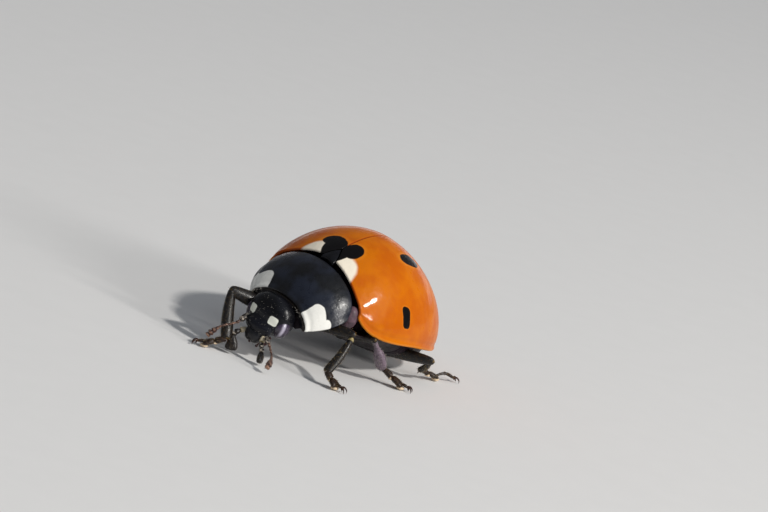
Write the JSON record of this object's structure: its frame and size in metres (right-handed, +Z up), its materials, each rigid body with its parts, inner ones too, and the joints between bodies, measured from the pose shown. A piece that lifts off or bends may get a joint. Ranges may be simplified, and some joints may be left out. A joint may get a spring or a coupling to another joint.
{
  "type": "ladybird",
  "caption": "Life-size seven-spot ladybird beetle walking: domed orange wing cases with black spots, black pronotum with cream corners, small head, feelers, palps and bent legs.",
  "frame": {"origin": "middle of the footprint, at floor level", "axes": "-Y towards the head, +X towards the animal's left, +Z up from the floor"},
  "size_m": [0.0066, 0.0088, 0.0041],
  "materials": {
    "wing_case": "glossy orange chitin with black spots and cream shoulder patches",
    "shell": "polished black chitin with fine punctures and cream corner patches",
    "underside": "satin black chitin",
    "eye": "polished black, finely faceted",
    "mouth": "satin reddish brown chitin",
    "feeler": "satin golden brown chitin with fine hairs",
    "leg": "satin black chitin with fine golden hairs"
  },
  "bodies": {
    "root": {"elytron_left": "wing_case", "elytron_right": "wing_case", "scutellum": "shell", "pronotum": "shell", "prothorax": "underside", "thorax": "underside", "abdomen": "underside", "head": "shell", "eye_left": "eye", "eye_right": "eye", "labrum": "shell", "mouthparts": "mouth", "palp_left": "leg", "palp_right": "leg", "antenna_left": "feeler", "antenna_right": "feeler", "femur_front_left": "leg", "tibia_front_left": "leg", "tarsus_front_left": "leg", "femur_front_right": "leg", "tibia_front_right": "leg", "tarsus_front_right": "leg", "femur_middle_left": "leg", "tibia_middle_left": "leg", "tarsus_middle_left": "leg", "femur_middle_right": "leg", "tibia_middle_right": "leg", "tarsus_middle_right": "leg", "femur_hind_left": "leg", "tibia_hind_left": "leg", "tarsus_hind_left": "leg", "femur_hind_right": "leg", "tibia_hind_right": "leg", "tarsus_hind_right": "leg"}
  },
  "joints": []
}
